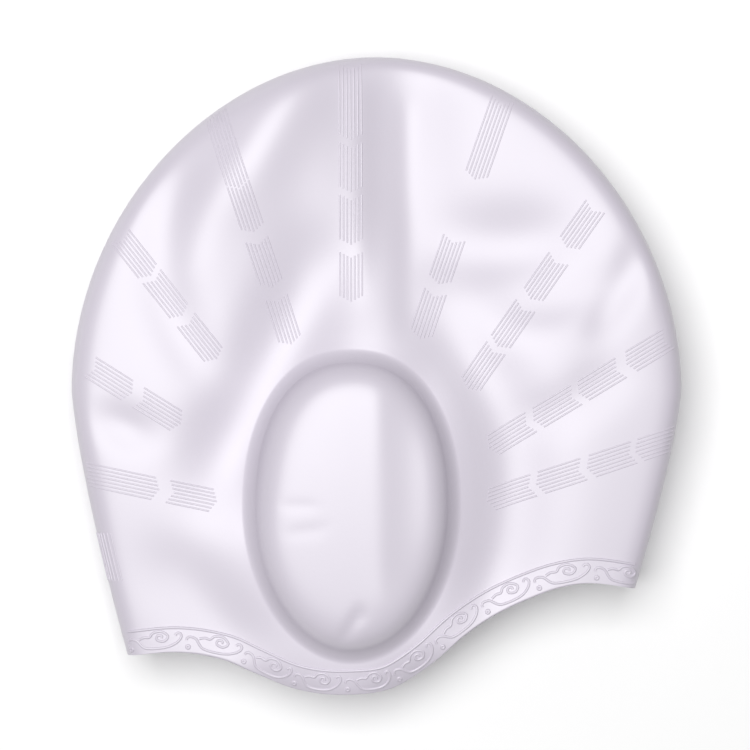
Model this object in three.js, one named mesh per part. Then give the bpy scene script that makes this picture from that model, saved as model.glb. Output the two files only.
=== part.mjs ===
// A white silicone swim cap with a moulded ear pocket on each side, empty and lying on its side.
// Millimetres. +X runs from the nape to the brow, +Y from the hem to the crown, and +Z up from the
// surface that the cap lies on. The cap is one moulding: a thin skin, open along the hem.
import * as THREE from 'three';

// Outline of the cap as it lies, measured from its widest line.
const CAP_LENGTH = 219.5; // nape to brow along the widest line
const CROWN_RISE = 119.5; // widest line to the top of the crown
const CROWN_POWER = 1.93; // 2 is an ellipse, less is leaner at the shoulders
const NAPE_DROP = 95; // widest line down to the hem at the nape
const BROW_DROP = 71; // widest line down to the hem at the brow
const NAPE_LEAN = 20; // how far the nape end leans in at the level of the hem's corner
const BROW_LEAN = 16.5; // and the brow end
const LEAN_POWER = 1.3; // 1 is a straight lean, more starts it later

// Thickness of the cap as it lies.
const WALL = 1;
const FOLD_HEIGHT = 24; // surface up to the fold where the two sides meet
const UPPER_SWELL = 17; // fold up to the middle of the upper side, before its dents
const UNDER_SWELL = 29; // fold down to the middle of the under side, before the surface flattens it
const UPPER_CLOSING = 0.3; // share of the swell that is gone at the level of the nape
const UNDER_CLOSING = 0.5;
const EDGE_POWER = 22; // 2 is an ellipse, more is flatter in the middle and rounder at the fold
const EDGE_POWER_CHANGE = 6; // more of it at the brow, and less at the nape
const EDGE_SHARE = 0.85; // share of the swell that is gained at the fold, and the rest over the whole side
const DOME_POWER = 2.2; // 2 is a parabola from fold to fold, more is flatter in the middle
const SETTLING = 3; // how softly the under side meets the surface

// Ear pocket, the same on both sides.
const EAR_X = -8.8;
const EAR_LEVEL = 42; // its middle above the straight line between the hem's ends
const EAR_HALF_LENGTH = 34.6;
const EAR_HALF_HEIGHT = 51.5;
const EAR_RISE = 10.5; // top of the pocket above the skin round it
const EAR_SQUARENESS = 8; // more is a flatter top with rounder sides
const EAR_STEEPNESS = 0.62; // 1 is a soft foot, less is a steeper wall
const EAR_TOP_FULLNESS = 2.3; // 2 is an ellipse, more is a fuller top end
const FILLET_WIDTH = 6; // hollow curve that leads up to the pocket's wall
const FILLET_RISE = 3;
const EAR_TO_HEM = 9.2; // outside of the pocket's fillet to the lowest point of the hem

// Relief on the outside.
const BAND_HEIGHT = 8.6; // border along the hem, up to its bead
const BAND_ROOM = 0.83; // most of the way to the pocket's fillet that the border may take
const BEAD_WIDTH = 2;
const BEAD_LIFT = 0.6;
const RIB_WIDTH = 9.2; // one ray of ribbed panels
const RIB_LIFT = 0.5;
const HUB_BELOW_EAR = 8.5; // point that the rays spread from, under the pocket's middle
const NAPE_PANEL_FROM = 40; // ribbed panel along the fold of the nape, from below the widest line
const NAPE_PANEL_TO = 69;

// Hem, from the nape (at 0) to the brow (at 1). hang is how far it hangs below the straight line
// between them, as a share of the ear flap's depth.
const HEM = [
  { at: 0, hang: 0 },
  { at: 0.1, hang: 0.03 },
  { at: 0.19, hang: 0.22 },
  { at: 0.25, hang: 0.47 },
  { at: 0.32, hang: 0.76 },
  { at: 0.38, hang: 0.91 },
  { at: 0.44, hang: 0.98 },
  { at: 0.5, hang: 1 },
  { at: 0.54, hang: 0.93 },
  { at: 0.6, hang: 0.68 },
  { at: 0.66, hang: 0.34 },
  { at: 0.72, hang: 0.1 },
  { at: 0.79, hang: -0.08 },
  { at: 0.85, hang: -0.18 },
  { at: 0.91, hang: -0.18 },
  { at: 1, hang: 0 },
];

// Rays of ribs: the direction from the hub in degrees, and where its panels start and end, as
// shares of the way from the hub to the fold.
const RIB_RAYS = [
  { angle: 15.5, start: 0.43, end: 0.98 },
  { angle: 31.5, start: 0.43, end: 0.97 },
  { angle: 52, start: 0.45, end: 0.97 },
  { angle: 71.5, start: 0.44, end: 0.97 },
  { angle: 90.5, start: 0.48, end: 0.96 },
  { angle: 108.5, start: 0.46, end: 0.97 },
  { angle: 128, start: 0.5, end: 0.97 },
  { angle: 148, start: 0.5, end: 0.97 },
  { angle: 168.3, start: 0.5, end: 0.96 },
];

// Folds and dents. path lists points as [x, y], x as a share of half the cap's length and y as a
// share of the crown's rise. depth goes in, and a negative one out, and width is the half width.
const UPPER_FOLDS = [
  { name: 'mound under the ear', depth: -4, width: 32, path: [[-0.08, -0.58], [-0.08, -0.02]] },
  { name: 'crown valley', depth: 4, width: 14, path: [[0.08, 0.98], [0.08, 0.3]] },
  { name: 'brow hollow', depth: 3, width: 30, path: [[0.32, 0.8], [0.32, 0.3]] },
  { name: 'crown valley, brow side', depth: 1.2, width: 5, path: [[0.115, 0.86], [0.107, 0.2]] },
  { name: 'crown valley, nape side', depth: 1.6, width: 8, path: [[-0.14, 0.98], [-0.15, 0.55], [-0.2, 0.29]] },
  { name: 'crown ridge', depth: -0.6, width: 6, path: [[-0.075, 0.9], [-0.075, 0.3]] },
  { name: 'valley behind the ear', depth: 6, width: 14, path: [[-0.2, 0.4], [-0.22, 0.25], [-0.31, 0.1], [-0.45, -0.14]] },
  { name: 'valley before the ear', depth: 3, width: 13, path: [[0.14, 0.16], [0.31, -0.03], [0.38, -0.2], [0.37, -0.5], [0.3, -0.66]] },
  { name: 'brow dent', depth: 2.6, width: 11, path: [[0.26, 0.5], [0.42, 0.47], [0.6, 0.5]] },
  { name: 'temple dent', depth: 1.6, width: 9, path: [[0.41, 0.24], [0.6, 0.25], [0.75, 0.33]] },
  { name: 'temple ridge', depth: -1.2, width: 6, path: [[0.85, 0.33], [0.77, 0.14]] },
  { name: 'cheek dent', depth: 1.4, width: 9, path: [[0.52, -0.09], [0.64, -0.04], [0.77, 0.05]] },
  { name: 'nape ridge', depth: -1.6, width: 8, path: [[-0.24, 0.93], [-0.4, 0.7], [-0.53, 0.58], [-0.6, 0.33]] },
  { name: 'nape dent, upper', depth: 1, width: 6, path: [[-0.56, 0.78], [-0.64, 0.55], [-0.63, 0.4]] },
  { name: 'nape dent, middle', depth: 2.2, width: 8, path: [[-0.7, 0.32], [-0.64, 0.18], [-0.57, 0.06]] },
  { name: 'nape dent, lower', depth: 2, width: 8, path: [[-0.88, -0.08], [-0.75, -0.14]] },
  { name: 'flap fold, nape side', depth: 2.4, width: 13, path: [[-0.68, -0.5], [-0.42, -0.78]] },
  { name: 'hem tuck', depth: 7, width: 9, path: [[-0.42, -0.93], [-0.08, -1.03], [0.24, -0.87]] },
  { name: 'ear, brow side', depth: 1.8, width: 10, path: [[0.13, -0.06], [0.13, -0.56]] },
];
const UNDER_FOLDS = [
  { name: 'crown valley', depth: 3, width: 12, path: [[-0.1, 0.95], [-0.3, 0.3], [-0.55, -0.1]] },
  { name: 'hem tuck', depth: 4, width: 9, path: [[-0.42, -0.93], [-0.08, -1.03], [0.24, -0.87]] },
];

// Mesh fineness: shares of the pocket inside its foot, of its fillet, and of the skin outside it.
const POCKET_ROWS = [0.3, 0.55, 0.74, 0.86, 0.93, 0.975, 1];
const FILLET_ROWS = [0.3, 0.65];
const FOLD_ROWS = [0.15, 0.3, 0.45, 0.59, 0.71, 0.82, 0.9, 0.95, 0.985];
const FLAP_ROWS = 6; // from the rim to the bead along the hem
const HEM_FAN = 0.17; // how much wider the columns to the hem leave the pocket, in radians
const HEM_ARCH = 0.06; // how far they arch, for their length
const CORNER_LEAN = 0.6; // how far the border's rows draw in, for their height, at the hem's corners
const CORNER_SPREAD = 2.5; // how far the first row above the bead stands off there, in bead widths
const COLUMNS_BETWEEN_RAYS = 2;
const BROW_COLUMNS = 3;
const HEM_COLUMNS = 20;
const NAPE_COLUMNS = 4;

const HALF_LENGTH = CAP_LENGTH / 2;
const NAPE = new THREE.Vector2(-halfLengthAt(-NAPE_DROP, false), -NAPE_DROP);
const BROW = new THREE.Vector2(halfLengthAt(-BROW_DROP, true), -BROW_DROP);
const FLAP_AT = 0.48; // where along the hem the ear flap is lowest
const HEM_LEVEL = THREE.MathUtils.lerp(NAPE.y, BROW.y, FLAP_AT);
const FLAP_DEPTH = EAR_HALF_HEIGHT + FILLET_WIDTH + EAR_TO_HEM - EAR_LEVEL;
const EAR = new THREE.Vector2(EAR_X, HEM_LEVEL + EAR_LEVEL);
const HUB = new THREE.Vector2(EAR_X, EAR.y - HUB_BELOW_EAR);

// Half the cap's length at height y, up to the fold on the nape's side or the brow's.
function halfLengthAt(y, brow) {
  if (y > 0) return HALF_LENGTH * Math.max(0, 1 - (y / CROWN_RISE) ** CROWN_POWER) ** (1 / CROWN_POWER);
  const share = brow ? BROW_LEAN / BROW_DROP ** LEAN_POWER : NAPE_LEAN / NAPE_DROP ** LEAN_POWER;
  return HALF_LENGTH - share * (-y) ** LEAN_POWER;
}

// Smooth curve through the rows of a table, by cubic Hermite pieces.
function smoothTable(rows, key, value, x) {
  const last = rows.length - 1;
  const slope = (i) => {
    const a = rows[Math.max(0, i - 1)];
    const b = rows[Math.min(last, i + 1)];
    return (b[value] - a[value]) / (b[key] - a[key]);
  };
  let i = 0;
  while (i < last - 1 && x > rows[i + 1][key]) i += 1;
  const span = rows[i + 1][key] - rows[i][key];
  const t = THREE.MathUtils.clamp((x - rows[i][key]) / span, 0, 1);
  const ease = t * t * (3 - 2 * t);
  return (
    rows[i][value] * (1 - ease) +
    rows[i + 1][value] * ease +
    span * t * (1 - t) * (slope(i) * (1 - t) - slope(i + 1) * t)
  );
}

function hemAt(x) {
  const at = (x - NAPE.x) / (BROW.x - NAPE.x);
  return THREE.MathUtils.lerp(NAPE.y, BROW.y, at) - FLAP_DEPTH * smoothTable(HEM, 'at', 'hang', at);
}

// 0 in the middle of the cap and 1 at the fold.
function towardsFold(x, y) {
  if (y <= 0) return Math.abs(x) / halfLengthAt(y, x > 0);
  return ((Math.abs(x) / HALF_LENGTH) ** CROWN_POWER + (y / CROWN_RISE) ** CROWN_POWER) ** (1 / CROWN_POWER);
}

function insideOutline(x, y) {
  return towardsFold(x, y) < 1 && (x < NAPE.x || x > BROW.x || y > hemAt(x));
}

// Radius of the ear pocket's foot from its centre towards (x, y).
function earRadius(x, y) {
  const dx = x - EAR.x;
  const dy = y - EAR.y;
  const power = dy > 0 ? EAR_TOP_FULLNESS : 2;
  const share = (Math.abs(dx) / EAR_HALF_LENGTH) ** power + (Math.abs(dy) / EAR_HALF_HEIGHT) ** power;
  return Math.hypot(dx, dy) / share ** (1 / power);
}

function insideFillet(x, y) {
  return EAR.distanceTo(new THREE.Vector2(x, y)) < earRadius(x, y) + FILLET_WIDTH;
}

// Height of the ear pocket and of the fillet at its foot above the skin.
function earRelief(x, y) {
  const distance = Math.hypot(x - EAR.x, y - EAR.y);
  if (distance < 1e-6) return EAR_RISE;
  const radius = earRadius(x, y);
  const share = Math.min(distance / radius, 1);
  const dome = (EAR_RISE - FILLET_RISE) * (1 - share ** EAR_SQUARENESS) ** EAR_STEEPNESS;
  const beyond = THREE.MathUtils.clamp((distance - radius) / FILLET_WIDTH, 0, 1);
  return dome + FILLET_RISE * (1 - beyond) ** 2;
}

// Each fold is a row of soft dents that run together along its path.
function dentsAlong({ depth, width, path }) {
  const line = new THREE.CurvePath();
  const points = path.map(([x, y]) => new THREE.Vector2(x * HALF_LENGTH, y * CROWN_RISE));
  points.slice(1).forEach((point, i) => line.add(new THREE.LineCurve(points[i], point)));
  const count = Math.max(1, Math.round((3 * line.getLength()) / width));
  const step = line.getLength() / count;
  const share = (depth * step) / (width * Math.sqrt(Math.PI));
  return line.getSpacedPoints(count).map((p) => ({ p, share, width }));
}

const dentDepth = (dents, x, y) =>
  dents.reduce((sum, { p, share, width }) => sum + share * Math.exp(-((x - p.x) ** 2 + (y - p.y) ** 2) / width ** 2), 0);

// Distance from the fold's level out to one side of the skin.
function swellAt(side, x, y) {
  const t = Math.min(towardsFold(x, y), 1);
  const edge = Math.sqrt(1 - t ** (EDGE_POWER + EDGE_POWER_CHANGE * THREE.MathUtils.clamp(x / HALF_LENGTH, -1, 1)));
  const dome = EDGE_SHARE * edge + (1 - EDGE_SHARE) * (1 - t ** DOME_POWER);
  const closing = y < 0 ? side.closing * (-y / NAPE_DROP) ** 1.5 : 0;
  return side.swell * (1 - closing) * dome + edge * (earRelief(x, y) - dentDepth(side.dents, x, y));
}

// The smaller of two lengths, rounded off where they are near each other.
function softMin(a, b, soft) {
  const t = THREE.MathUtils.clamp(0.5 + (b - a) / (2 * soft), 0, 1);
  return THREE.MathUtils.lerp(b, a, t) - soft * t * (1 - t);
}

const UPPER = { swell: UPPER_SWELL, closing: UPPER_CLOSING, dents: UPPER_FOLDS.flatMap(dentsAlong) };
const UNDER = { swell: UNDER_SWELL, closing: UNDER_CLOSING, dents: UNDER_FOLDS.flatMap(dentsAlong) };

const upperHeight = (x, y) => FOLD_HEIGHT + swellAt(UPPER, x, y);
const underHeight = (x, y) => FOLD_HEIGHT - softMin(swellAt(UNDER, x, y), FOLD_HEIGHT, SETTLING);

// Last point of a line, from its start in one direction, for which a test is true.
function lastInside(start, direction, test) {
  let near = 0;
  let far = CAP_LENGTH + CROWN_RISE;
  const at = (distance) => start.clone().addScaledVector(direction, distance);
  for (let i = 0; i < 40; i += 1) {
    const middle = (near + far) / 2;
    const p = at(middle);
    if (test(p.x, p.y)) near = middle;
    else far = middle;
  }
  return at(near);
}

const directionAt = (angle) => new THREE.Vector2(Math.cos(angle), Math.sin(angle));

// Point on the outside of the pocket's fillet, in one direction from the pocket's centre.
function rimPoint(direction) {
  const radius = earRadius(EAR.x + direction.x, EAR.y + direction.y) + FILLET_WIDTH;
  return EAR.clone().addScaledVector(direction, radius);
}

// Column beside the line that a ray of ribs follows from the hub to the fold.
function rayColumn(ray, aside) {
  const direction = directionAt(THREE.MathUtils.degToRad(ray.angle));
  const start = HUB.clone().add(new THREE.Vector2(-direction.y, direction.x).multiplyScalar(aside));
  return {
    rim: lastInside(start, direction, insideFillet),
    end: lastInside(start, direction, insideOutline),
    ray,
  };
}

const angleFromEar = (p) => Math.atan2(p.y - EAR.y, p.x - EAR.x);

// Direction from the pocket's centre, at a share of the turn from one point to another. spread
// widens the turn at both ends.
function directionBetween(a, b, share, spread = 0) {
  const turn = THREE.MathUtils.euclideanModulo(angleFromEar(b) - angleFromEar(a), 2 * Math.PI);
  return directionAt(angleFromEar(a) - spread + (turn + 2 * spread) * share);
}

// Column from the pocket to the hem, at a share of the way from its nape end to its brow end.
function hemColumn(share) {
  const x = THREE.MathUtils.lerp(NAPE.x, BROW.x, share);
  return {
    rim: rimPoint(directionBetween(NAPE, BROW, share, HEM_FAN)),
    end: new THREE.Vector2(x, hemAt(x)),
    hem: true,
    corner: share === 0 || share === 1,
  };
}

// Columns to the fold that fill the space between two others, evenly as seen from the pocket.
function fillBetween(a, b, count) {
  const columns = [];
  for (let i = 1; i <= count; i += 1) {
    const share = i / (count + 1);
    columns.push({
      rim: rimPoint(directionBetween(a.rim, b.rim, share)),
      end: lastInside(EAR, directionBetween(a.end, b.end, share), insideOutline),
    });
  }
  return columns;
}

// Columns all the way round, anticlockwise from the brow's end of the hem.
function columnsRound() {
  const columns = [hemColumn(1)];
  RIB_RAYS.forEach((ray, i) => {
    const first = rayColumn(ray, -RIB_WIDTH / 2);
    columns.push(...fillBetween(columns.at(-1), first, i ? COLUMNS_BETWEEN_RAYS : BROW_COLUMNS));
    columns.push(first, rayColumn(ray, RIB_WIDTH / 2));
  });
  columns.push(...fillBetween(columns.at(-1), hemColumn(0), NAPE_COLUMNS));
  for (let i = 0; i < HEM_COLUMNS; i += 1) columns.push(hemColumn(i / HEM_COLUMNS));
  return columns;
}

// Rows of one column, each with its lift: over the pocket from its centre, and from its fillet to
// the fold or the hem.
function rowsAlong({ rim, end, ray, hem, corner }) {
  const towards = rim.clone().sub(EAR).normalize();
  const foot = earRadius(rim.x, rim.y);
  const distances = POCKET_ROWS.map((share) => share * foot);
  distances.push(...FILLET_ROWS.map((share) => foot + share * FILLET_WIDTH));
  const rows = distances.map((distance) => ({ p: EAR.clone().addScaledVector(towards, distance), lift: 0 }));
  rows.push({ p: rim, lift: 0 });
  if (hem) {
    const band = Math.min(BAND_HEIGHT, BAND_ROOM * rim.distanceTo(end));
    const lean = corner ? CORNER_LEAN * Math.sign(rim.x - end.x) : 0;
    const above = (height) => new THREE.Vector2(end.x + lean * height, end.y + height);
    const top = above(band + BEAD_WIDTH * (corner ? CORNER_SPREAD : 0.5));
    const bend = rim.clone().lerp(top, 0.7);
    bend.y += corner ? 0 : HEM_ARCH * Math.abs(top.x - rim.x);
    const arch = new THREE.QuadraticBezierCurve(rim, bend, top);
    for (let i = 1; i <= FLAP_ROWS; i += 1) rows.push({ p: arch.getPoint(i / FLAP_ROWS), lift: 0 });
    rows.push({ p: above(band), lift: BEAD_LIFT });
    rows.push({ p: above(band - BEAD_WIDTH / 2), lift: 0 });
    rows.push({ p: above(BEAD_WIDTH), lift: 0 });
    rows.push({ p: end, lift: BEAD_LIFT / 2 });
    return rows;
  }
  FOLD_ROWS.forEach((share) => {
    const p = rim.clone().lerp(end, share);
    const along = p.distanceTo(HUB) / end.distanceTo(HUB);
    rows.push({ p, lift: ray && along > ray.start && along < ray.end ? RIB_LIFT : 0 });
  });
  rows.push({ p: end, lift: 0 });
  if (end.x < 0 && end.y < -NAPE_PANEL_FROM && end.y > -NAPE_PANEL_TO) {
    rows.slice(-3).forEach((row) => { row.lift = RIB_LIFT; });
  }
  return rows;
}

// The skin without thickness: both sides, joined along the fold and open along the hem.
function openSkin() {
  const columns = columnsRound();
  const count = columns.length;
  const positions = [];
  const lifts = [];
  const triangles = [];
  const add = (p, z, lift) => {
    positions.push(p.x, p.y, z);
    lifts.push(lift);
    return lifts.length - 1;
  };
  const sides = [upperHeight, underHeight].map((height) => ({
    height,
    pole: add(EAR, height(EAR.x, EAR.y), 0),
    grid: columns.map(() => []),
  }));
  columns.forEach((column, j) => {
    const rows = rowsAlong(column);
    rows.forEach(({ p, lift }, i) => {
      const onFold = i === rows.length - 1 && (!column.hem || column.corner);
      const shared = onFold ? add(p, FOLD_HEIGHT, lift) : null;
      sides.forEach((side) => {
        side.grid[j].push(shared ?? add(p, side.height(p.x, p.y), lift));
      });
    });
  });
  sides.forEach((side, s) => {
    const face = (a, b, c) => triangles.push(...(s ? [a, c, b] : [a, b, c]));
    for (let j = 0; j < count; j += 1) {
      const here = side.grid[j];
      const next = side.grid[(j + 1) % count];
      face(side.pole, here[0], next[0]);
      for (let i = 1; i < here.length; i += 1) {
        face(here[i - 1], here[i], next[i]);
        face(here[i - 1], next[i], next[i - 1]);
      }
    }
  });
  const skin = new THREE.BufferGeometry();
  skin.setAttribute('position', new THREE.Float32BufferAttribute(positions, 3));
  skin.setIndex(triangles);
  skin.computeVertexNormals();
  return { skin, lifts };
}

// Gives the skin its wall: the relief outwards, the wall inwards, and a strip along the open edge.
// Relief that would reach below the surface is pressed level with it.
function thicken({ skin, lifts }, wall) {
  const position = skin.getAttribute('position');
  const normal = skin.getAttribute('normal');
  const count = position.count;
  const moved = new Float32Array(count * 6);
  const point = new THREE.Vector3();
  const out = new THREE.Vector3();
  for (let i = 0; i < count; i += 1) {
    point.fromBufferAttribute(position, i);
    out.fromBufferAttribute(normal, i);
    point.addScaledVector(out, lifts[i]).setZ(Math.max(point.z, 0)).toArray(moved, i * 3);
    point.fromBufferAttribute(position, i);
    point.addScaledVector(out, -wall).toArray(moved, (count + i) * 3);
  }
  const faces = skin.index.array;
  const triangles = [...faces];
  const edges = new Set();
  for (let i = 0; i < faces.length; i += 3) {
    const [a, b, c] = faces.slice(i, i + 3);
    triangles.push(count + a, count + c, count + b);
    [[a, b], [b, c], [c, a]].forEach(([from, to]) => edges.add(from * count + to));
  }
  for (const edge of edges) {
    const from = Math.floor(edge / count);
    const to = edge % count;
    if (edges.has(to * count + from)) continue;
    triangles.push(from, count + from, count + to, from, count + to, to);
  }
  const solid = new THREE.BufferGeometry();
  solid.setAttribute('position', new THREE.BufferAttribute(moved, 3));
  solid.setIndex(triangles);
  return solid;
}

const silicone = new THREE.MeshStandardMaterial({ color: 0xf1eef6, roughness: 0.4, metalness: 0 });
const capShell = new THREE.Mesh(thicken(openSkin(), WALL), silicone);
capShell.name = 'cap_shell';

// The origin is under the middle of the cap, on the surface that it lies on.
const cap = new THREE.Group();
cap.add(capShell);
const box = new THREE.Box3().setFromObject(capShell);
capShell.position.set(-(box.min.x + box.max.x) / 2, -(box.min.y + box.max.y) / 2, -box.min.z);

export default cap;
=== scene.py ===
# White silicone swim cap with a moulded ear pocket on each side, empty and lying on its side.
# +X runs from the nape to the brow, +Y from the hem to the crown, and +Z up from the surface.
# Sizes are in millimetres until a mesh is made.
import math

import bpy
import numpy as np
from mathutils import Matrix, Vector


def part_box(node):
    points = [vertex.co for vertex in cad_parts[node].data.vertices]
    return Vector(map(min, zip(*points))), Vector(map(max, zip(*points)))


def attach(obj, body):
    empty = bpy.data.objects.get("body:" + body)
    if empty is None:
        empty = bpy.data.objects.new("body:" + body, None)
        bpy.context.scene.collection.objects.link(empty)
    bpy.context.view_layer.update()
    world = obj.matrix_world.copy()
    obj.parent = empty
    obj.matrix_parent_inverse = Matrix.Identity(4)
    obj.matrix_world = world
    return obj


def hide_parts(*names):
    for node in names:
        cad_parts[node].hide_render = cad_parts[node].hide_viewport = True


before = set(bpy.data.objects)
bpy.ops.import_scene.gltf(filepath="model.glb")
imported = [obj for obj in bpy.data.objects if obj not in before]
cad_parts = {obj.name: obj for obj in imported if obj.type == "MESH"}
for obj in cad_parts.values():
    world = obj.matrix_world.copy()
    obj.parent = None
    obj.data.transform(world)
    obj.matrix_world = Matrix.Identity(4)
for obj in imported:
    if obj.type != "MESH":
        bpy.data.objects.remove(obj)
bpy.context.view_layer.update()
low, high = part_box("cap_shell")

MM = 0.001

# Outline of the cap, measured from its widest line, which lies below the top of the CAD solid.
CROWN_RISE = 119.5
CROWN_POWER = 1.93
WIDEST_Y = high[1] / MM - CROWN_RISE
HALF_LENGTH = (high[0] - low[0]) / 2 / MM
NAPE_DROP = 95
BROW_DROP = 71
NAPE_LEAN = 20
BROW_LEAN = 16.5
LEAN_POWER = 1.3

# Thickness of the cap as it lies.
WALL = 1
FOLD_HEIGHT = 24
EDGE_POWER = 46
EDGE_POWER_CHANGE = 8
EDGE_SHARE = 0.85
DOME_POWER = 2.2
CLOSING_POWER = 1.5
SETTLING = 3
LIP_ROUNDING = 0.35

# Ear pocket, the same on both sides: a wall with a rounded shoulder, and a fillet round its foot.
# Stiffness is the share of the surrounding folds that its top keeps out.
EAR = np.array([-8.8, -41.5])
EAR_HALF_LENGTH = 34
EAR_HALF_HEIGHT = 51
EAR_RISE = 12
EAR_SHOULDER = 3.4
EAR_STIFFNESS = 0.7
FILLET_WIDTH = 5.2
FILLET_RISE = 4.5
EAR_TOP_FULLNESS = 2.3
EAR_TO_HEM = 10.5

# Hem, from the nape (at 0) to the brow (at 1). Hang is how far it hangs below the straight line
# between them, as a share of the ear flap's depth.
HEM_AT = [0, 0.1, 0.19, 0.25, 0.32, 0.38, 0.44, 0.5, 0.54, 0.6, 0.66, 0.72, 0.79, 0.85, 0.91, 1]
HEM_HANG = [0, 0.03, 0.22, 0.47, 0.76, 0.91, 0.98, 1, 0.93, 0.68, 0.34, 0.1, -0.08, -0.18, -0.18, 0]
FLAP_AT = 0.48

# Folds and dents: name, depth, half width and path. Depth goes in, and a negative one out. A path
# has x as a share of half the cap's length and y as a share of the crown's rise. The ear's own folds
# are those that its stiffness doesn't keep out.
DENTS_IN_A_WIDTH = 3
UPPER_FOLDS = [
    ("mound under the ear", -3, 32, [(-0.08, -0.58), (-0.08, -0.02)]),
    ("crown valley", 6, 19, [(0.1, 0.98), (0.1, 0.3)]),
    ("brow hollow", 3, 30, [(0.32, 0.8), (0.32, 0.3)]),
    ("crown valley, brow side", 0.5, 5, [(0.11, 0.86), (0.105, 0.2)]),
    ("nape lobe", -4, 16, [(-0.25, 0.93), (-0.376, 0.72), (-0.465, 0.54)]),
    ("crown ridge", -0.5, 5, [(-0.06, 0.9), (-0.06, 0.3)]),
    ("valley behind the ear", 7.2, 18, [(-0.17, 0.42), (-0.23, 0.25), (-0.36, 0.01), (-0.52, -0.28)]),
    ("valley before the ear", 5, 16,
     [(0.2, 0.2), (0.38, 0), (0.45, -0.2), (0.41, -0.5), (0.32, -0.66)]),
    ("brow dent", 5.6, 17, [(0.22, 0.43), (0.42, 0.4), (0.6, 0.44)]),
    ("temple dent", 1.6, 9, [(0.41, 0.24), (0.6, 0.25), (0.75, 0.33)]),
    ("temple valley", 1.5, 7, [(0.85, 0.42), (0.82, 0.34), (0.72, 0.18)]),
    ("cheek dent", 1.4, 9, [(0.52, -0.09), (0.64, -0.04), (0.77, 0.05)]),
    ("nape ridge", -1.4, 11, [(-0.24, 0.93), (-0.4, 0.7), (-0.53, 0.58), (-0.6, 0.33)]),
    ("nape dent, upper", 1.5, 10, [(-0.63, 0.68), (-0.69, 0.5), (-0.68, 0.36)]),
    ("nape dent, middle", 2, 10, [(-0.7, 0.32), (-0.64, 0.18), (-0.57, 0.06)]),
    ("nape dent, lower", 2, 8, [(-0.88, -0.08), (-0.75, -0.14)]),
    ("flap fold, nape side", 2.4, 13, [(-0.68, -0.5), (-0.42, -0.78)]),
    ("hem tuck", 7, 9, [(-0.42, -0.93), (-0.08, -1.03), (0.24, -0.87)]),
]
EAR_FOLDS = [
    ("ear, brow side", 1.8, 10, [(0.12, 0.02), (0.13, -0.6)]),
    ("ear ridge", -0.3, 4.5, [(0, 0), (0.01, -0.64)]),
    ("ear wrinkle, upper", 0.16, 2.6, [(-0.3, -0.34), (-0.2, -0.34)]),
    ("ear wrinkle, lower", 0.16, 2.8, [(-0.28, -0.42), (-0.17, -0.41)]),
    ("ear wrinkle at its foot", 0.8, 2.4, [(-0.048, -0.654), (-0.11, -0.738)]),
]
UNDER_FOLDS = [
    ("crown valley", 3, 12, [(-0.1, 0.95), (-0.3, 0.3), (-0.55, -0.1)]),
    ("hem tuck", 4, 9, [(-0.42, -0.93), (-0.08, -1.03), (0.24, -0.87)]),
]
UPPER = {"swell": 17, "closing": 0.3, "folds": UPPER_FOLDS, "ear folds": EAR_FOLDS}
UNDER = {"swell": 29, "closing": 0.5, "folds": UNDER_FOLDS, "ear folds": []}

# Ribbed panels: the point that their rays spread from, and for each ray its direction in degrees,
# how far its line passes to the left of the point, the length of its outermost panel and the
# distances of its panels' middles. The ends of a panel's ribs form a V. The nape's panel runs along
# the fold, between two levels, with each rib at a distance from the fold.
HUB = np.array([-8.5, -50])
RIBS = 7
RIB_PITCH = 1.3
RIB_RADIUS = 0.4
RIB_SINK = 0.2
PANEL_LENGTH = 15.7
CHEVRON = 0.5
CHEVRON_TURN = 2
RIB_POINTS = 20
RAYS = [
    (18.5, -5.2, PANEL_LENGTH, [57.5, 76, 94.8, 112.9]),
    (31.3, 0, PANEL_LENGTH, [65.5, 84.2, 102.7, 122.5]),
    (55, -4.6, PANEL_LENGTH, [73.7, 92, 112.5, 135]),
    (70.8, 0, 28, [81.2, 101.7, 147.3]),
    (90.3, 0, 25, [90.2, 110.5, 129, 152.2]),
    (108.2, 0, PANEL_LENGTH, [78.6, 100, 120.5, 136.7, 152.9]),
    (128.3, 0, PANEL_LENGTH, [86.6, 106.2, 124.3]),
    (148, 0, PANEL_LENGTH, [80.7, 101]),
    (168, 0, 27, [58.2, 84.7]),
]
RIBS_STOP_AT = 0.985
NAPE_PANEL_ENDS = (-68, -51)
NAPE_RIBS = [0.7, 1.5, 2.4, 3.5, 4.8, 6.1]
NAPE_RIB_POINTS = 24

# Border along the hem: its height, also as a share of the room under the ear, the steps in which the
# hem is followed, and where its dots and bead lie. One scroll is drawn with its round dot at
# (0, DOT_HEIGHT), x along the hem and y up from it.
BAND_HEIGHT = 8.6
BAND_UNDER_EAR = 0.83
HEM_STEP = 0.5
HEM_STEPS_LEFT_OUT = 3
FIRST_DOT_X = -10
BEAD_STEP = 1.2
BEAD_FROM_END = 2
SCROLL_PERIOD = 19.9
SCROLL_RADIUS = 0.55
SCROLL_SINK = 0.15
BEAD_RADIUS = 0.5
DOT_HEIGHT = 2
DOT_RADIUS = 0.6
DOT_SIDES = 8
WAVE_STEP = 0.7
VOLUTE_STEP = 0.6
CURVE_STEPS = 12
WAVE = [(-0.7, 4.4), (-0.5, 5.3), (0.7, 5.7), (2.5, 5), (3.7, 3.3), (5.2, 2), (8.7, 1.5), (12.9, 1.8),
        (15.8, 3.2), (17.3, 5), (17.3, 6.4), (16.2, 6.9), (15.5, 6)]
VOLUTE = [(3.4, 5.3), (5.2, 5.9), (7, 5.7), (8.3, 7.1), (11.1, 7.4), (13.2, 5.6), (11.8, 3.9),
          (9.5, 4.5), (9.7, 6), (11.2, 6), (11.1, 5.1)]

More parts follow.
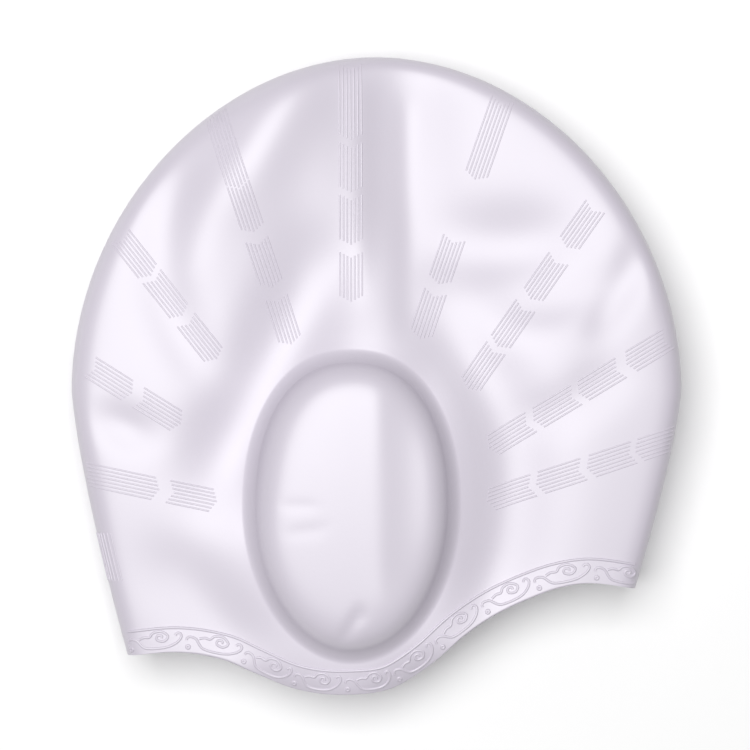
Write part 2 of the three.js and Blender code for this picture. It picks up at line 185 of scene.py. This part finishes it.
# Mesh of the cap: columns spread from the pocket's centre to the fold and the hem, and rows cross
# them. Crowding draws the rows towards the edge, along the fold and near the hem's corners, and
# spread draws the columns towards those corners.
FOLD_COLUMNS = 320
HEM_COLUMNS = 130
EAR_ROWS = {"upper": 26, "under": 14, "lining": 9}
FILLET_ROWS = {"upper": 18, "under": 10, "lining": 6}
OUTER_ROWS = {"upper": 52, "under": 28, "lining": 18}
FOLD_CROWDING = 1.9
HEM_CORNER = 25
HEM_SPREAD = 0.7

# How a line of the relief becomes a rounded ridge: its section's sides, and the heights from which
# it drops on the upper side and rises to the lower one.
SECTION_SIDES = 8
START_HEIGHTS = {"upper": 150, "under": -50}

# Silicone: linear colours, roughness and its change, and how often its clouds and its grain repeat
# in a metre.
WHITE = (0.61, 0.57, 0.65, 1)
CLOUDY_WHITE = (0.63, 0.59, 0.665, 1)
ROUGHNESS = 0.36
ROUGHNESS_CHANGE = 0.06
CLOUD_SCALE = 22
GRAIN_SCALE = 900

# Studio, in metres: a pale floor, a wide softbox above and to the left, and a camera straight above,
# as in the photograph.
FLOOR_WHITE = (0.95, 0.95, 0.95, 1)
FLOOR_REACH = 4
SOFTBOX_AT = (-0.22, 0.18, 1.5)
SOFTBOX_SIDE = 1.15
SOFTBOX_WATTS = 26.5
WORLD_STRENGTH = 0.15
FRAME_WIDTH = 0.27
CAMERA_DISTANCE = 1
CAMERA_OVER = (-0.0005, -0.0002)


def half_length_at(y, brow):
    """Distance of the fold from the cap's middle line, at the brow's or at the nape's side."""
    lean, drop = (BROW_LEAN, BROW_DROP) if brow else (NAPE_LEAN, NAPE_DROP)
    left = np.clip(1 - np.clip(y / CROWN_RISE, 0, 1) ** CROWN_POWER, 0, 1)
    above = HALF_LENGTH * left ** (1 / CROWN_POWER)
    below = HALF_LENGTH - lean * (np.clip(-y, 0, None) / drop) ** LEAN_POWER
    return np.where(y > 0, above, below)


NAPE = np.array([-float(half_length_at(-NAPE_DROP, False)), -NAPE_DROP])
BROW = np.array([float(half_length_at(-BROW_DROP, True)), -BROW_DROP])
FLAP_BOTTOM = EAR[1] - EAR_HALF_HEIGHT - FILLET_WIDTH - EAR_TO_HEM
FLAP_DEPTH = NAPE[1] + (BROW[1] - NAPE[1]) * FLAP_AT - FLAP_BOTTOM


def smooth_curve(at, values, x):
    """Cubic Hermite curve through the values of a table."""
    at, values = np.asarray(at, float), np.asarray(values, float)
    before = np.maximum(np.arange(len(at)) - 1, 0)
    after = np.minimum(np.arange(len(at)) + 1, len(at) - 1)
    slopes = (values[after] - values[before]) / (at[after] - at[before])
    i = np.clip(np.searchsorted(at, x, side="right") - 1, 0, len(at) - 2)
    span = at[i + 1] - at[i]
    t = np.clip((x - at[i]) / span, 0, 1)
    ease = t * t * (3 - 2 * t)
    bend = span * t * (1 - t) * (slopes[i] * (1 - t) - slopes[i + 1] * t)
    return values[i] * (1 - ease) + values[i + 1] * ease + bend


def hem_at(x):
    """Where the hem runs, as y for each x."""
    at = (x - NAPE[0]) / (BROW[0] - NAPE[0])
    return NAPE[1] + (BROW[1] - NAPE[1]) * at - FLAP_DEPTH * smooth_curve(HEM_AT, HEM_HANG, at)


def towards_fold(x, y):
    """0 in the middle of the cap and 1 at the fold."""
    rise = np.clip(y, 0, None) / CROWN_RISE
    above = (np.abs(x) / HALF_LENGTH) ** CROWN_POWER + rise ** CROWN_POWER
    below = np.minimum(y, 0)
    half = np.where(x > 0, half_length_at(below, True), half_length_at(below, False))
    return np.where(y > 0, above ** (1 / CROWN_POWER), np.abs(x) / half)


def ear_radius(x, y):
    """Radius of the pocket's foot from its centre towards (x, y)."""
    dx, dy = x - EAR[0], y - EAR[1]
    power = np.where(dy > 0, EAR_TOP_FULLNESS, 2.0)
    share = (np.abs(dx) / EAR_HALF_LENGTH) ** power + (np.abs(dy) / EAR_HALF_HEIGHT) ** power
    return np.hypot(dx, dy) / np.maximum(share, 1e-12) ** (1 / power)


def ear_relief(x, y):
    """Share of the pocket's shoulder that is climbed at a point, and the pocket's height there."""
    distance = np.hypot(x - EAR[0], y - EAR[1])
    radius = np.where(distance < 1e-6, EAR_HALF_LENGTH, ear_radius(x, y))
    beyond = distance - radius
    climbed = 1 - np.exp(np.minimum(beyond, 0) / EAR_SHOULDER)
    fillet = FILLET_RISE * (1 - np.clip(beyond / FILLET_WIDTH, 0, 1)) ** 2
    return climbed, (EAR_RISE - FILLET_RISE) * climbed + fillet


def resample(path, step):
    """Points at even steps along a path, and the length of a step."""
    path = np.asarray(path, float)
    along = np.concatenate([[0], np.cumsum(np.hypot(*np.diff(path, axis=0).T))])
    count = max(2, int(round(along[-1] / step)) + 1)
    at = np.linspace(0, along[-1], count)
    return np.column_stack([np.interp(at, along, path[:, 0]), np.interp(at, along, path[:, 1])]), at[1]


def fold_depth(folds, x, y):
    """How deep the folds go: each is a row of soft dents that run together along its path."""
    depth = np.zeros_like(x)
    for _, deep, width, path in folds:
        path = np.array(path) * [HALF_LENGTH, CROWN_RISE]
        points, step = resample(path, width / DENTS_IN_A_WIDTH)
        share = deep * step / (width * math.sqrt(math.pi))
        for px, py in points:
            depth += share * np.exp(-((x - px) ** 2 + (y - py) ** 2) / width ** 2)
    return depth


def swell_at(side, x, y):
    """How far a side stands off the level of the fold."""
    t = towards_fold(x, y)
    power = EDGE_POWER + EDGE_POWER_CHANGE * np.clip(x / HALF_LENGTH, -1, 1)
    edge = np.sqrt(np.clip(1 - t ** power, 0, 1))
    dome = EDGE_SHARE * edge + (1 - EDGE_SHARE) * (1 - np.clip(t, 0, 1) ** DOME_POWER)
    closing = side["closing"] * (np.clip(-y, 0, None) / NAPE_DROP) ** CLOSING_POWER
    swell = side["swell"] * (1 - closing) * dome
    climbed, relief = ear_relief(x, y)
    folds = (1 - EAR_STIFFNESS * climbed) * fold_depth(side["folds"], x, y)
    return swell + edge * (relief - folds - fold_depth(side["ear folds"], x, y))


def soft_min(a, b, soft):
    """The smaller of two values, with a rounded change from one to the other."""
    t = np.clip(0.5 + (b - a) / (2 * soft), 0, 1)
    return b + (a - b) * t - soft * t * (1 - t)


def height(side, x, y):
    """Height above the surface, on which the lower side settles."""
    if side is UPPER:
        return FOLD_HEIGHT + swell_at(UPPER, x, y)
    return FOLD_HEIGHT - soft_min(swell_at(UNDER, x, y), FOLD_HEIGHT, SETTLING)


def even_points(line, count, crowding):
    """Points along a line, spread half by length and half by their angle from the pocket."""
    length = np.concatenate([[0], np.cumsum(np.hypot(*np.diff(line, axis=0).T))])
    angle = np.unwrap(np.arctan2(line[:, 1] - EAR[1], line[:, 0] - EAR[0]))
    measure = length / length[-1] + (angle - angle[0]) / (angle[-1] - angle[0])
    u = np.linspace(0, 1, count + 1)
    u = u + crowding * ((1 - np.cos(np.pi * u)) / 2 - u)
    return np.column_stack([np.interp(u * 2, measure, line[:, k]) for k in (0, 1)])


def signed_power(values, power):
    """Power of the values' sizes, with their signs kept."""
    return np.sign(values) * np.abs(values) ** power


def fold_line():
    """The fold from the brow's end of the hem over the crown to the nape's end."""
    brow = np.linspace(-BROW_DROP, 0, 300, endpoint=False)
    nape = np.linspace(0, -NAPE_DROP, 400)[1:]
    turn = np.linspace(0, np.pi, 1500)
    crown_x = HALF_LENGTH * signed_power(np.cos(turn), 2 / CROWN_POWER)
    crown_y = CROWN_RISE * signed_power(np.sin(turn), 2 / CROWN_POWER)
    return np.vstack([
        np.column_stack([half_length_at(brow, True), brow]),
        np.column_stack([crown_x, crown_y]),
        np.column_stack([-half_length_at(nape, False), nape]),
    ])


def hem_line(count=1200):
    x = np.linspace(NAPE[0], BROW[0], count)
    return np.column_stack([x, hem_at(x)])


fold_ends = even_points(fold_line(), FOLD_COLUMNS, 0)
hem_ends = even_points(hem_line(), HEM_COLUMNS, HEM_SPREAD)
ENDS = np.vstack([fold_ends, hem_ends[1:-1]])
ON_FOLD = np.arange(len(ENDS)) <= FOLD_COLUMNS


def rows_of(kind):
    """Plan points of every column's rows for one sheet of the skin."""
    towards = ENDS - EAR
    reach = np.hypot(*towards.T)
    towards = towards / reach[:, None]
    foot = ear_radius(ENDS[:, 0], ENDS[:, 1])
    rim = foot + FILLET_WIDTH
    inside = 1 - (1 - np.arange(1, EAR_ROWS[kind] + 1) / EAR_ROWS[kind]) ** 2
    across = np.arange(1, FILLET_ROWS[kind] + 1) / FILLET_ROWS[kind]
    outside = np.arange(1, OUTER_ROWS[kind] + 1) / OUTER_ROWS[kind]
    from_corner = np.minimum(np.hypot(*(ENDS - NAPE).T), np.hypot(*(ENDS - BROW).T))
    in_corner = np.clip(1 - from_corner / HEM_CORNER, 0, 1)
    crowding = np.where(ON_FOLD, FOLD_CROWDING, 1 + (FOLD_CROWDING - 1) * in_corner)
    distances = np.hstack([
        foot[:, None] * inside,
        foot[:, None] + FILLET_WIDTH * across,
        rim[:, None] + (reach - rim)[:, None] * (1 - (1 - outside) ** crowding[:, None]),
    ])
    distances[:, -1] = reach
    return EAR + towards[:, None, :] * distances[:, :, None]


def skin(upper_kind, under_kind):
    """Both sides of the skin as points, faces and each side's grid of point numbers."""
    points, faces, grids = [], [], []
    count = 0
    for side, kind in ((UPPER, upper_kind), (UNDER, under_kind)):
        plan = rows_of(kind)
        columns, rows = plan.shape[:2]
        z = height(side, plan[:, :, 0], plan[:, :, 1])
        z[ON_FOLD, -1] = FOLD_HEIGHT
        pole_z = height(side, *(np.array([c]) for c in EAR))
        points += [np.array([[*EAR, pole_z[0]]]), np.dstack([plan, z]).reshape(-1, 3)]
        grid = count + 1 + np.arange(columns * rows).reshape(columns, rows)
        pole = count
        count += 1 + columns * rows
        if grids:
            grid[ON_FOLD, -1] = grids[0][ON_FOLD, -1]
        after = np.roll(grid, -1, axis=0)
        quads = np.dstack([grid[:, :-1], grid[:, 1:], after[:, 1:], after[:, :-1]]).reshape(-1, 4)
        fan = np.column_stack([np.full(columns, pole), grid[:, 0], after[:, 0]])
        if grids:
            quads, fan = quads[:, ::-1], fan[:, ::-1]
        faces += quads.tolist() + fan.tolist()
        grids.append(grid)
    return np.vstack(points), faces, grids


def normals_of(points, faces):
    """Directions of the points, from the faces around them."""
    normals = np.zeros_like(points)
    for size in (3, 4):
        some = np.array([f for f in faces if len(f) == size])
        a, b, c = points[some[:, 0]], points[some[:, 1]], points[some[:, 2]]
        face = np.cross(b - a, c - a)
        if size == 4:
            face = np.cross(c - a, points[some[:, 3]] - b)
        for k in range(size):
            np.add.at(normals, some[:, k], face)
    return normals / np.maximum(np.linalg.norm(normals, axis=1), 1e-12)[:, None]


def new_mesh(name, points, faces, edges=()):
    """Mesh object with its points given in millimetres from the cap's widest line."""
    mesh = bpy.data.meshes.new(name)
    placed = (np.asarray(points, float) + [0, WIDEST_Y, 0]) * MM
    mesh.from_pydata(placed.tolist(), list(edges), faces)
    mesh.update()
    if faces:
        mesh.shade_smooth()
    piece = bpy.data.objects.new(name, mesh)
    bpy.context.collection.objects.link(piece)
    return piece


def cap_skin():
    """The closed wall: outer skin, lining and a rounded lip along the hem."""
    outer, outer_faces, outer_grids = skin("upper", "under")
    lining, lining_faces, lining_grids = skin("lining", "lining")
    normals = normals_of(lining, lining_faces)
    inner = lining - normals * WALL
    shift = len(outer)
    faces = outer_faces + [[shift + i for i in reversed(f)] for f in lining_faces]
    points = [outer, inner]
    hem = np.append(np.arange(FOLD_COLUMNS, len(ENDS)), 0)
    count = shift + len(inner)
    # One lip for each side. Both meet at the fold, where they share their first and last points.
    for s, (grid, inner_grid) in enumerate(zip(outer_grids, lining_grids)):
        edge, before = outer[grid[hem, -1]], outer[grid[hem, -2]]
        inner_edge = inner[inner_grid[hem, -1]]
        out = edge - before
        out /= np.linalg.norm(out, axis=1)[:, None]
        lip = (edge + inner_edge) / 2 + out * LIP_ROUNDING
        if s == 1:
            lip[[0, -1]] = points[2][[0, -1]]
        points.append(lip)
        ring = count + np.arange(len(hem))
        if s == 1:
            ring[[0, -1]] = first_ring[[0, -1]]
        else:
            first_ring = ring
        count += len(hem)
        rims = (grid[hem, -1], ring, shift + inner_grid[hem, -1])
        for a, b in zip(rims, rims[1:]):
            strip = np.column_stack([a[:-1], b[:-1], b[1:], a[1:]])
            faces += (strip[:, ::-1] if s else strip).tolist()
    return new_mesh("cap_skin", np.vstack(points), faces)


# Plan of the relief.
def smooth_path(points, step):
    """Even points along a smooth curve through a few points."""
    points = np.asarray(points, float)
    padded = np.vstack([2 * points[0] - points[1], points, 2 * points[-1] - points[-2]])
    curve = []
    for a, b, c, d in zip(padded, padded[1:], padded[2:], padded[3:]):
        for t in np.linspace(0, 1, CURVE_STEPS, endpoint=False):
            curve.append(0.5 * (2 * b + (c - a) * t + (2 * a - 5 * b + 4 * c - d) * t * t
                                + (3 * b - a - 3 * c + d) * t ** 3))
    curve.append(points[-1])
    return resample(curve, step)[0]


def rib_lines():
    """Every rib of every panel, as lines in plan. The last panel runs along the fold at the nape."""
    lines = []
    for angle, left, outermost, middles in RAYS:
        along = np.array([math.cos(math.radians(angle)), math.sin(math.radians(angle))])
        across = np.array([-along[1], along[0]])
        for middle in middles:
            length = outermost if middle == middles[-1] else PANEL_LENGTH
            for i in range(RIBS):
                aside = (i - (RIBS - 1) / 2) * RIB_PITCH
                start = middle - length / 2 + CHEVRON * (abs(aside) - CHEVRON_TURN)
                at = np.linspace(start, start + length, RIB_POINTS)
                line = HUB + along * at[:, None] + across * (left + aside)
                line = line[towards_fold(line[:, 0], line[:, 1]) < RIBS_STOP_AT]
                if len(line) > 2:
                    lines.append(line)
    for inwards in NAPE_RIBS:
        y = np.linspace(*NAPE_PANEL_ENDS, NAPE_RIB_POINTS)
        lines.append(np.column_stack([inwards - half_length_at(y, False), y]))
    return lines


def hem_frame():
    """Even points along the hem with the direction into the cap and the border's height."""
    line, _ = resample(hem_line(), HEM_STEP)
    along = np.gradient(line, axis=0)
    along /= np.hypot(*along.T)[:, None]
    inwards = np.column_stack([-along[:, 1], along[:, 0]])
    to_rim = np.hypot(*(line - EAR).T) - ear_radius(line[:, 0], line[:, 1]) - FILLET_WIDTH
    return line, inwards, np.minimum(BAND_HEIGHT, to_rim * BAND_UNDER_EAR)


def on_border(points, start, hem, inwards, band):
    """Puts a drawing at a distance along the hem."""
    points = np.asarray(points, float)
    at = (start + points[:, 0]) / HEM_STEP
    inside = (at > HEM_STEPS_LEFT_OUT) & (at < len(hem) - 1 - HEM_STEPS_LEFT_OUT)
    at, up = at[inside], points[inside, 1]
    steps = np.arange(len(hem))
    up = up * np.interp(at, steps, band) / BAND_HEIGHT
    return np.column_stack([np.interp(at, steps, hem[:, k]) + np.interp(at, steps, inwards[:, k]) * up
                            for k in (0, 1)])


def border_lines():
    """The scrolls with their dots, and the bead, as lines in plan."""
    hem, inwards, band = hem_frame()
    length = (len(hem) - 1) * HEM_STEP
    first_dot = HEM_STEP * int(np.argmin(np.abs(hem[:, 0] - FIRST_DOT_X)))
    turn = np.linspace(0, 2 * np.pi, DOT_SIDES + 1)
    dot = np.column_stack([np.cos(turn), np.sin(turn)]) * DOT_RADIUS + [0, DOT_HEIGHT]
    scroll = (smooth_path(WAVE, WAVE_STEP), smooth_path(VOLUTE, VOLUTE_STEP), dot)
    lines = []
    start = first_dot % SCROLL_PERIOD - SCROLL_PERIOD
    while start < length:
        for drawing in scroll:
            line = on_border(drawing, start, hem, inwards, band)
            if len(line) > 3:
                lines.append(line)
        start += SCROLL_PERIOD
    along = np.arange(BEAD_FROM_END, length - BEAD_FROM_END, BEAD_STEP)
    bead = np.column_stack([along, np.full(len(along), BAND_HEIGHT)])
    return lines, [on_border(bead, 0, hem, inwards, band)]


def plan_object(name, lines):
    """Mesh of bare lines, laid flat at the height of the surface."""
    points, edges = [], []
    for line in lines:
        first = len(points)
        points += [(x, y, 0) for x, y in line]
        edges += [(first + i, first + i + 1) for i in range(len(line) - 1)]
    return new_mesh(name, points, [], edges)


class Nodes:
    """Node tree whose nodes come from one method. A key such as _1 names an input by its number."""

    def __init__(self, tree):
        self.tree = tree

    def node(self, kind, settings=None, **values):
        made = self.tree.nodes.new(kind)
        for key, value in (settings or {}).items():
            setattr(made, key, value)
        for key, value in values.items():
            numbered = key[0] == "_"
            socket = made.inputs[int(key[1:]) if numbered else key.replace("_", " ")]
            source = value.socket if isinstance(value, Value) else value
            if isinstance(source, bpy.types.NodeSocket):
                self.tree.links.new(source, socket)
            else:
                socket.default_value = source
        return made.outputs


class Value:
    """A shader socket that takes part in Python expressions."""

    def __init__(self, shader, socket):
        self.shader, self.socket = shader, socket

    def _math(self, operation, other):
        made = self.shader.node("ShaderNodeMath", {"operation": operation}, _0=self, _1=other)
        return Value(self.shader, made[0])

    def __radd__(self, other):
        return self._math("ADD", other)

    def __rmul__(self, other):
        return self._math("MULTIPLY", other)


RELIEF_INPUTS = [
    ("Lines", "NodeSocketGeometry"),
    ("Skin", "NodeSocketObject"),
    ("Radius", "NodeSocketFloat"),
    ("Sink", "NodeSocketFloat"),
    ("Sides", "NodeSocketInt"),
    ("Start height", "NodeSocketFloat"),
    ("Silicone", "NodeSocketMaterial"),
]


def relief_tree():
    """Lays flat lines on the skin, from above or from below, and gives them a round section."""
    tree = bpy.data.node_groups.new("relief laid on the skin", "GeometryNodeTree")
    for label, kind in RELIEF_INPUTS:
        tree.interface.new_socket(label, in_out="INPUT", socket_type=kind)
    tree.interface.new_socket("Relief", in_out="OUTPUT", socket_type="NodeSocketGeometry")
    made = Nodes(tree)
    given = made.node("NodeGroupInput")
    skin_mesh = made.node("GeometryNodeObjectInfo", Object=given["Skin"])["Geometry"]
    here = made.node("ShaderNodeSeparateXYZ", Vector=made.node("GeometryNodeInputPosition")[0])
    source = made.node("ShaderNodeCombineXYZ", X=here["X"], Y=here["Y"],
                       Z=given["Start height"])[0]
    downwards = made.node("ShaderNodeMath", {"operation": "SIGN"}, _0=given["Start height"])[0]
    downwards = made.node("ShaderNodeMath", {"operation": "MULTIPLY"}, _0=downwards, _1=-1.0)[0]
    direction = made.node("ShaderNodeCombineXYZ", Z=downwards)[0]
    ray = made.node("GeometryNodeRaycast", Target_Geometry=skin_mesh, Source_Position=source,
                    Ray_Direction=direction, Ray_Length=1.0)
    hit = made.node("ShaderNodeSeparateXYZ", Vector=ray["Hit Position"])
    sunk = made.node("ShaderNodeMath", {"operation": "MULTIPLY_ADD"},
                     _0=downwards, _1=given["Sink"], _2=hit["Z"])[0]
    above_floor = made.node("ShaderNodeMath", {"operation": "MAXIMUM"}, _0=sunk, _1=given["Radius"])[0]
    place = made.node("ShaderNodeCombineXYZ", X=hit["X"], Y=hit["Y"], Z=above_floor)[0]
    laid = made.node("GeometryNodeSetPosition", Geometry=given["Lines"], Position=place)[0]
    curve = made.node("GeometryNodeMeshToCurve", Mesh=laid)[0]
    profile = made.node("GeometryNodeCurvePrimitiveCircle", {"mode": "RADIUS"},
                        Resolution=given["Sides"], Radius=given["Radius"])[0]
    body = made.node("GeometryNodeCurveToMesh", Curve=curve, Profile_Curve=profile, Fill_Caps=True)[0]
    whole = made.node("GeometryNodeRealizeInstances", Geometry=body)[0]
    smooth = made.node("GeometryNodeSetShadeSmooth", Geometry=whole)[0]
    finished = made.node("GeometryNodeSetMaterial", Geometry=smooth, Material=given["Silicone"])[0]
    made.node("NodeGroupOutput", Relief=finished)
    return tree


def lay(name, tree, lines, values):
    """Runs the tree on some lines and keeps the result as a plain mesh."""
    plan = plan_object(name, lines)
    modifier = plan.modifiers.new("relief", "NODES")
    modifier.node_group = tree
    for item in tree.interface.items_tree:
        if item.in_out == "INPUT" and item.name in values:
            modifier[item.identifier] = values[item.name]
    depsgraph = bpy.context.evaluated_depsgraph_get()
    mesh = bpy.data.meshes.new_from_object(plan.evaluated_get(depsgraph))
    plan.modifiers.clear()
    old = plan.data
    plan.data = mesh
    mesh.name = name
    bpy.data.meshes.remove(old)
    return plan


def new_material(name, surface_of):
    """Material whose surface comes from a function that is given its node tree."""
    material = bpy.data.materials.new(name)
    material.use_nodes = True
    material.node_tree.nodes.clear()
    shader = Nodes(material.node_tree)
    shader.node("ShaderNodeOutputMaterial", Surface=surface_of(shader))
    return material


def white_silicone(shader):
    """Pearly white, satin, with a faint cloudiness and a fine grain."""
    place = shader.node("ShaderNodeTexCoord")["Object"]
    noise = "ShaderNodeTexNoise"
    cloud = shader.node(noise, Vector=place, Scale=CLOUD_SCALE, Detail=2, Roughness=0.5)[0]
    grain = shader.node(noise, Vector=place, Scale=GRAIN_SCALE, Detail=2, Roughness=0.6)[0]
    colour = shader.node("ShaderNodeMix", {"data_type": "RGBA"}, _0=cloud, _6=WHITE, _7=CLOUDY_WHITE)[2]
    bumps = shader.node("ShaderNodeBump", Strength=0.06, Distance=0.2 * MM, Height=grain)[0]
    return shader.node("ShaderNodeBsdfPrincipled", Base_Color=colour, Normal=bumps, IOR=1.5,
                       Roughness=ROUGHNESS + ROUGHNESS_CHANGE * Value(shader, cloud),
                       Specular_IOR_Level=0.85)[0]


def pale_floor(shader):
    return shader.node("ShaderNodeBsdfPrincipled", Base_Color=FLOOR_WHITE, Roughness=0.8)[0]


silicone = new_material("white silicone", white_silicone)
cap = cap_skin()
cap.data.materials.append(silicone)

# Relief: name, lines, radius of the section and how far it sinks in.
tree = relief_tree()
scrolls, beads = border_lines()
RELIEF = [
    ("ribs", rib_lines(), RIB_RADIUS, RIB_SINK),
    ("scrolls", scrolls, SCROLL_RADIUS, SCROLL_SINK),
    ("bead", beads, BEAD_RADIUS, 0),
]
relief = []
for side_name, start_height in START_HEIGHTS.items():
    for name, lines, radius, sink in RELIEF:
        relief.append(lay(f"{name}_{side_name}", tree, lines, {
            "Skin": cap,
            "Radius": radius * MM,
            "Sink": sink * MM,
            "Sides": SECTION_SIDES,
            "Start height": start_height * MM,
            "Silicone": silicone,
        }))

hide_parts("cap_shell")
for piece in [cap, *relief]:
    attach(piece, "root")

# Studio.
floor_mesh = bpy.data.meshes.new("floor")
corners = [(x * FLOOR_REACH, y * FLOOR_REACH, 0) for x, y in ((-1, -1), (1, -1), (1, 1), (-1, 1))]
floor_mesh.from_pydata(corners, [], [(0, 1, 2, 3)])
floor_mesh.materials.append(new_material("pale floor", pale_floor))
floor = bpy.data.objects.new("floor", floor_mesh)
bpy.context.collection.objects.link(floor)

light = bpy.data.lights.new("softbox", "AREA")
light.shape = "SQUARE"
light.size = SOFTBOX_SIDE
light.energy = SOFTBOX_WATTS
softbox = bpy.data.objects.new("softbox", light)
softbox.location = SOFTBOX_AT
softbox.visible_camera = False
bpy.context.collection.objects.link(softbox)

world = bpy.data.worlds.new("studio")
world.use_nodes = True
background = world.node_tree.nodes["Background"].inputs
background["Color"].default_value = (1, 1, 1, 1)
background["Strength"].default_value = WORLD_STRENGTH
bpy.context.scene.world = world
bpy.context.scene.view_settings.view_transform = "Standard"

camera_data = bpy.data.cameras.new("camera")
camera_data.sensor_width = 36
camera_data.lens = camera_data.sensor_width * CAMERA_DISTANCE / FRAME_WIDTH
camera = bpy.data.objects.new("camera", camera_data)
camera.location = (*CAMERA_OVER, CAMERA_DISTANCE + FOLD_HEIGHT * MM)
bpy.context.collection.objects.link(camera)
bpy.context.scene.camera = camera
